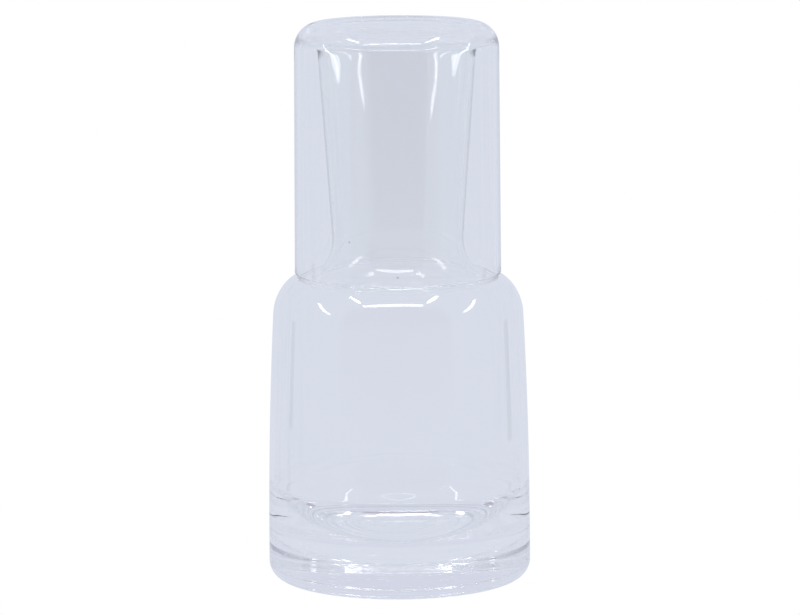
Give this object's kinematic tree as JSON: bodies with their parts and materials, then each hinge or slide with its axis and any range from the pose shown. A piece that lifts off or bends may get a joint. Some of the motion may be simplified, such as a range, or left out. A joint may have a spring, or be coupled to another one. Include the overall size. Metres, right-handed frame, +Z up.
{
  "type": "bedside carafe with tumbler",
  "caption": "Clear glass bedside water carafe with a thick base, round shoulder and flared neck, covered by an upside-down glass tumbler that lifts off to drink from.",
  "frame": {"origin": "centre of the ring that the carafe stands on, in the plane of that ring", "axes": "+Z up along the common axis of the carafe and the tumbler; the set is round, so +X and +Y are any two directions square to it"},
  "size_m": [0.09, 0.09, 0.1916],
  "materials": {
    "carafe_glass": "clear, fire-polished soda-lime glass with a faint cool tint",
    "tumbler_glass": "clear, fire-polished soda-lime glass with a faint cool tint"
  },
  "bodies": {
    "carafe": {"carafe": "carafe_glass"},
    "tumbler": {"tumbler": "tumbler_glass"}
  },
  "joints": [
    {"name": "tumbler_lift", "type": "slide", "parent": "carafe", "child": "tumbler", "axis": [0, 0, 1], "range_m": [0, 0.12]}
  ]
}
